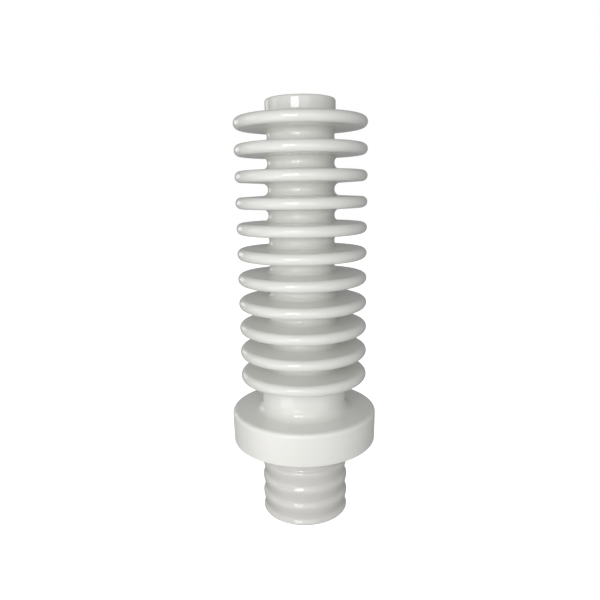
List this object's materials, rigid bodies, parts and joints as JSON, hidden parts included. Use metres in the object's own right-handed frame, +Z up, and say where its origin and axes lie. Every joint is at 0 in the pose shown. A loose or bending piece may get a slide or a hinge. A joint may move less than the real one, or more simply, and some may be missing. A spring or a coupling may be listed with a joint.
{
  "type": "porcelain apparatus bushing insulator",
  "caption": "White glazed porcelain bushing insulator with thin sheds, a mounting collar and a ridged stem, holding a clamped through conductor.",
  "frame": {"origin": "middle of the stem's foot, on the surface the part stands on", "axes": "+Z up along the bore, from the stem's foot to the neck"},
  "size_m": [0.12, 0.12, 0.3386],
  "materials": {
    "porcelain_glaze": "white gloss glaze",
    "conductor_brass": "turned and threaded",
    "plated_steel": "zinc plated",
    "spring_steel": "phosphated and oiled",
    "nitrile_rubber": "matt moulded rubber",
    "paper_laminate": "varnished wound paper tube"
  },
  "bodies": {
    "root": {"porcelain_body": "porcelain_glaze", "conductor_rod": "conductor_brass", "insulating_tube": "paper_laminate", "upper_centring_ring": "nitrile_rubber", "middle_centring_ring": "nitrile_rubber", "lower_centring_ring": "nitrile_rubber", "upper_gasket": "nitrile_rubber", "lower_gasket": "nitrile_rubber", "upper_pressure_washer": "plated_steel", "lower_pressure_washer": "plated_steel", "upper_clamp_nut": "plated_steel", "lower_clamp_nut": "plated_steel", "lower_lock_nut": "plated_steel", "upper_disc_spring": "spring_steel", "lower_disc_spring_inner": "spring_steel", "lower_disc_spring_outer": "spring_steel"}
  },
  "joints": []
}
